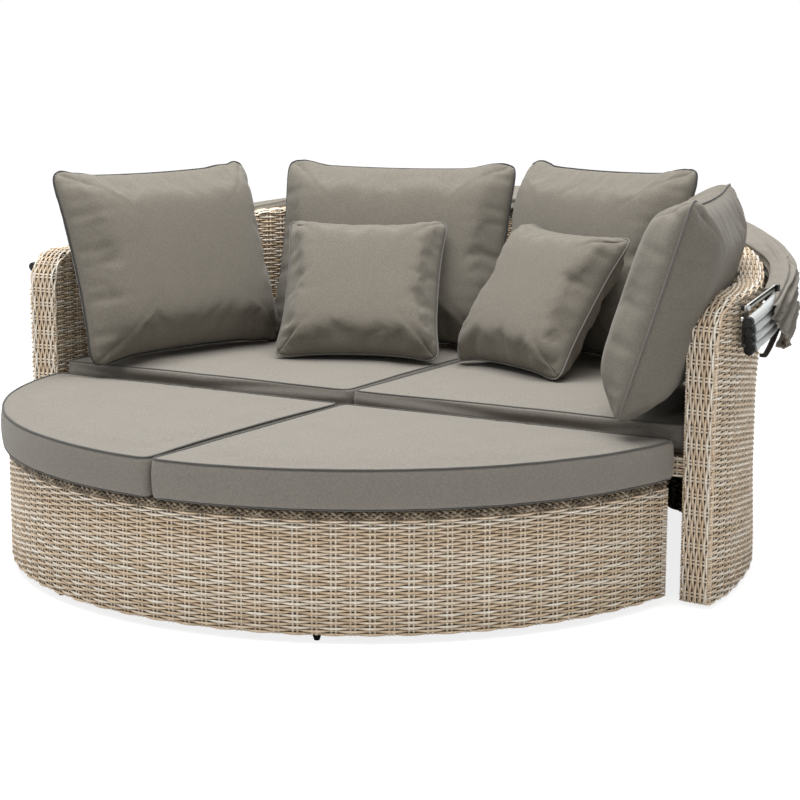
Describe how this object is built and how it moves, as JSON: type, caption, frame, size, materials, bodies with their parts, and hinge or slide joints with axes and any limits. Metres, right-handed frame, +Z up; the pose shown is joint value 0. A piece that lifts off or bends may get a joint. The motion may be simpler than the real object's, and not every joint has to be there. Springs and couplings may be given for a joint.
{
  "type": "daybed",
  "caption": "Round outdoor daybed: woven wall curving round a cushioned seat, half-moon ottoman that closes the circle, and a fan canopy folded back round the wall.",
  "frame": {"origin": "on the floor, at the middle of the space that the daybed takes up with the ottoman pushed in and the canopy folded back", "axes": "+X across the daybed towards the arm on the right as one faces it, +Y from the ottoman towards the back of the wall, +Z up"},
  "size_m": [2.2312, 2.1462, 0.9879],
  "materials": {
    "wicker": "woven flat strands of synthetic wicker in mixed cream, beige and tan",
    "frame": "dark powder-coated metal",
    "foot": "black plastic",
    "seat_fabric": "grey-taupe woven outdoor fabric, seat and ottoman cushions",
    "back_fabric": "grey-taupe woven outdoor fabric with dark piping",
    "canopy_fabric": "grey-taupe canopy cloth",
    "tube": "satin light grey metal tube",
    "fitting": "black moulded plastic",
    "screw": "plain steel",
    "webbing": "dark brown webbing"
  },
  "bodies": {
    "sofa": {"wicker_arm_right": "wicker", "wicker_arm_left": "wicker", "wicker_back": "wicker", "seat_deck": "wicker", "front_apron": "wicker", "wall_frame": "frame", "seat_frame": "frame", "seat_leg_left": "frame", "seat_leg_right": "frame", "seat_foot_left": "foot", "seat_foot_right": "foot", "wall_foot_1": "foot", "wall_foot_2": "foot", "wall_foot_3": "foot", "wall_foot_4": "foot", "seat_cushion_right": "seat_fabric", "seat_cushion_left": "seat_fabric", "back_cushion_left": "back_fabric", "back_cushion_centre": "back_fabric", "back_cushion_right": "back_fabric", "side_cushion_right": "back_fabric", "throw_pillow_left": "back_fabric", "throw_pillow_right": "back_fabric", "canopy_bracket_right": "fitting", "canopy_bracket_left": "fitting"},
    "ottoman": {"ottoman_wicker_front": "wicker", "ottoman_wicker_back": "wicker", "ottoman_border": "wicker", "ottoman_deck": "wicker", "ottoman_frame": "frame", "ottoman_foot_1": "foot", "ottoman_foot_2": "foot", "ottoman_foot_3": "foot", "ottoman_foot_4": "foot", "ottoman_cushion_left": "seat_fabric", "ottoman_cushion_right": "seat_fabric"},
    "bow_4": {"canopy_bow_4": "tube", "bow_end_right_4": "fitting", "bow_end_left_4": "fitting", "canopy_fold_4": "canopy_fabric", "tie_strap_right": "webbing", "tie_strap_left": "webbing"},
    "bow_3": {"canopy_bow_3": "tube", "bow_end_right_3": "fitting", "bow_end_left_3": "fitting", "canopy_fold_3": "canopy_fabric"},
    "bow_2": {"canopy_bow_2": "tube", "bow_end_right_2": "fitting", "bow_end_left_2": "fitting", "canopy_fold_2": "canopy_fabric"},
    "bow_1": {"canopy_bow_1": "tube", "bow_end_right_1": "fitting", "bow_end_left_1": "fitting", "canopy_fold_1": "canopy_fabric", "stay_lug_right": "fitting", "stay_lug_left": "fitting"},
    "stay_right": {"stay_right": "tube", "stay_screw_right": "screw"},
    "stay_left": {"stay_left": "tube", "stay_screw_left": "screw"}
  },
  "joints": [
    {"name": "ottoman_slide", "type": "slide", "parent": "sofa", "child": "ottoman", "axis": [0, -1, 0], "range_m": [0, 0.6]},
    {"name": "canopy_hinge_4", "type": "hinge", "parent": "sofa", "child": "bow_4", "pos_m": [0, -0.09847, 0.62453], "axis": [1, 0, 0], "range_deg": [0, 32]},
    {"name": "canopy_hinge_3", "type": "hinge", "parent": "bow_4", "child": "bow_3", "pos_m": [0, -0.09847, 0.62453], "axis": [1, 0, 0], "range_deg": [0, 32]},
    {"name": "canopy_hinge_2", "type": "hinge", "parent": "bow_3", "child": "bow_2", "pos_m": [0, -0.11719, 0.64979], "axis": [1, 0, 0], "range_deg": [0, 32]},
    {"name": "canopy_hinge_1", "type": "hinge", "parent": "bow_2", "child": "bow_1", "pos_m": [0, -0.13592, 0.67504], "axis": [1, 0, 0], "range_deg": [0, 32]},
    {"name": "stay_hinge_right", "type": "hinge", "parent": "bow_1", "child": "stay_right", "pos_m": [1.077, 0.06196, 0.75784], "axis": [-1, 0, 0], "range_deg": [0, 150]},
    {"name": "stay_hinge_left", "type": "hinge", "parent": "bow_1", "child": "stay_left", "pos_m": [-1.077, 0.06196, 0.75784], "axis": [-1, 0, 0], "range_deg": [0, 150]}
  ],
  "couplings": [
    {"joint": "canopy_hinge_3", "follows": "canopy_hinge_4", "ratio": 1},
    {"joint": "canopy_hinge_2", "follows": "canopy_hinge_4", "ratio": 1},
    {"joint": "canopy_hinge_1", "follows": "canopy_hinge_4", "ratio": 1}
  ]
}
